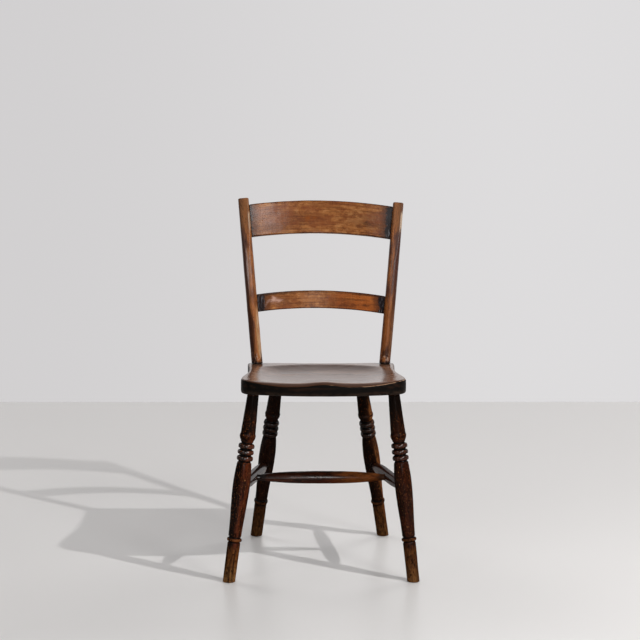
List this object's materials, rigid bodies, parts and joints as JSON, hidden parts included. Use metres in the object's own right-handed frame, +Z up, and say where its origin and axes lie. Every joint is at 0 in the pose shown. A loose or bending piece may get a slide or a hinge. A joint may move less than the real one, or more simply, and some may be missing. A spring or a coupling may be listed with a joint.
{
  "type": "wooden side chair",
  "caption": "Bar-back wooden kitchen side chair with a saddled plank seat, splayed turned legs tied by stretchers, and bent posts holding a bowed crest rail and mid rail.",
  "frame": {"origin": "on the floor under the middle of the chair's bounding box", "axes": "+Z up from the floor, -Y the way the sitter faces, +X to the right for a viewer in front"},
  "size_m": [0.4486, 0.4766, 0.8313],
  "materials": {
    "seat_plank_wood": "old dark stain rubbed to a grey-brown satin on the saddle",
    "dark_turned_wood": "nearly black worn varnish with reddish-brown high spots",
    "brown_back_wood": "worn honey-brown varnish with dark grime at the joints",
    "pale_peg_wood": "end grain darkened by wax"
  },
  "bodies": {
    "root": {"back_post_left": "brown_back_wood", "back_post_right": "brown_back_wood", "crest_rail": "brown_back_wood", "crest_rail_peg_left": "pale_peg_wood", "crest_rail_peg_right": "pale_peg_wood", "cross_stretcher": "dark_turned_wood", "leg_front_left": "dark_turned_wood", "leg_front_right": "dark_turned_wood", "leg_rear_left": "dark_turned_wood", "leg_rear_right": "dark_turned_wood", "mid_rail": "brown_back_wood", "mid_rail_peg_left": "pale_peg_wood", "mid_rail_peg_right": "pale_peg_wood", "post_wedge_left": "pale_peg_wood", "post_wedge_right": "pale_peg_wood", "seat": "seat_plank_wood", "side_stretcher_left": "dark_turned_wood", "side_stretcher_right": "dark_turned_wood"}
  },
  "joints": []
}
